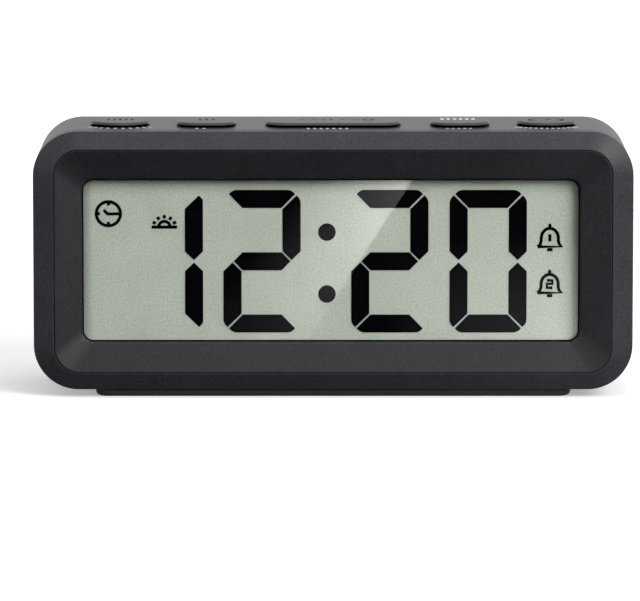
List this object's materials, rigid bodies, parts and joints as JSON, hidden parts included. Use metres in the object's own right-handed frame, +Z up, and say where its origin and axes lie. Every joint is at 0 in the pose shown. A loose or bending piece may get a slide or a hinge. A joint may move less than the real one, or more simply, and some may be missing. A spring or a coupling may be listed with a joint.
{
  "type": "digital alarm clock",
  "caption": "Low rectangular digital alarm clock with a recessed reflective liquid-crystal display, a row of push buttons along its top and a battery door in its back.",
  "frame": {"origin": "middle of the bounding box at the surface that the clock stands on", "axes": "+X to the right seen from the front, the display faces -Y, +Z up"},
  "size_m": [0.12, 0.0336, 0.0547],
  "materials": {
    "case_plastic": "fine matt texture",
    "surround_plastic": "fine matt texture",
    "button_plastic": "smooth satin",
    "foot_rubber": "matt",
    "clear_window": "clear polished",
    "display_glass": "clear polished",
    "display_dark": "black film",
    "display_back": "grey-green reflective film",
    "white_plastic": "matt",
    "light_guide": "frosted",
    "contact_rubber": "matt",
    "led_body": "satin",
    "board_green": "solder mask",
    "sealing_resin": "satin",
    "bright_steel": "bright plated",
    "black_steel": "blackened",
    "capacitor_can": "printed sleeve",
    "ribbon_plastic": "satin",
    "switch_plastic": "matt",
    "cell_jacket": "printed jacket",
    "lead_red": "satin",
    "lead_black": "satin",
    "sounder_brass": "satin",
    "sounder_ceramic": "matt"
  },
  "bodies": {
    "case": {"front_bezel": "case_plastic", "display_surround": "surround_plastic", "display_lens": "clear_window", "rear_case": "case_plastic", "base_foot": "foot_rubber", "battery_cells": "cell_jacket", "lcd_front_glass": "display_glass", "lcd_segments": "display_dark", "lcd_rear_glass": "display_back", "lcd_frame": "white_plastic", "light_guide": "light_guide", "zebra_strip": "contact_rubber", "backlight_leds": "led_body", "main_board": "board_green", "controller_chip": "sealing_resin", "quartz_crystal": "bright_steel", "capacitor": "capacitor_can", "board_screws": "bright_steel", "button_board": "board_green", "ribbon_cable": "ribbon_plastic", "switch_bodies": "switch_plastic", "battery_springs": "bright_steel", "battery_contacts": "bright_steel", "battery_lead_red": "lead_red", "battery_lead_black": "lead_black", "buzzer_plate": "sounder_brass", "buzzer_ceramic": "sounder_ceramic", "buzzer_leads": "lead_red", "case_screws": "black_steel"},
    "mode_button": {"mode_button": "button_plastic", "mode_plunger": "switch_plastic"},
    "set_button": {"set_button": "button_plastic", "set_plunger": "switch_plastic"},
    "snooze_bar": {"snooze_bar": "button_plastic", "snooze_plunger": "switch_plastic"},
    "up_button": {"up_button": "button_plastic", "up_plunger": "switch_plastic"},
    "alarm_button": {"alarm_button": "button_plastic", "alarm_plunger": "switch_plastic"},
    "battery_door": {"battery_door": "case_plastic"}
  },
  "joints": [
    {"name": "mode_press", "type": "slide", "parent": "case", "child": "mode_button", "axis": [0, 0, -1], "range_m": [0, 0.0005], "stiffness_N_per_m": 3000},
    {"name": "set_press", "type": "slide", "parent": "case", "child": "set_button", "axis": [0, 0, -1], "range_m": [0, 0.0005], "stiffness_N_per_m": 3000},
    {"name": "snooze_press", "type": "slide", "parent": "case", "child": "snooze_bar", "axis": [0, 0, -1], "range_m": [0, 0.0005], "stiffness_N_per_m": 3000},
    {"name": "up_press", "type": "slide", "parent": "case", "child": "up_button", "axis": [0, 0, -1], "range_m": [0, 0.0005], "stiffness_N_per_m": 3000},
    {"name": "alarm_press", "type": "slide", "parent": "case", "child": "alarm_button", "axis": [0, 0, -1], "range_m": [0, 0.0005], "stiffness_N_per_m": 3000},
    {"name": "door_tilt", "type": "hinge", "parent": "case", "child": "battery_door", "pos_m": [-0.0172, 0.01675, 0.0154], "axis": [-1, 0, 0], "range_deg": [0, 60]}
  ]
}
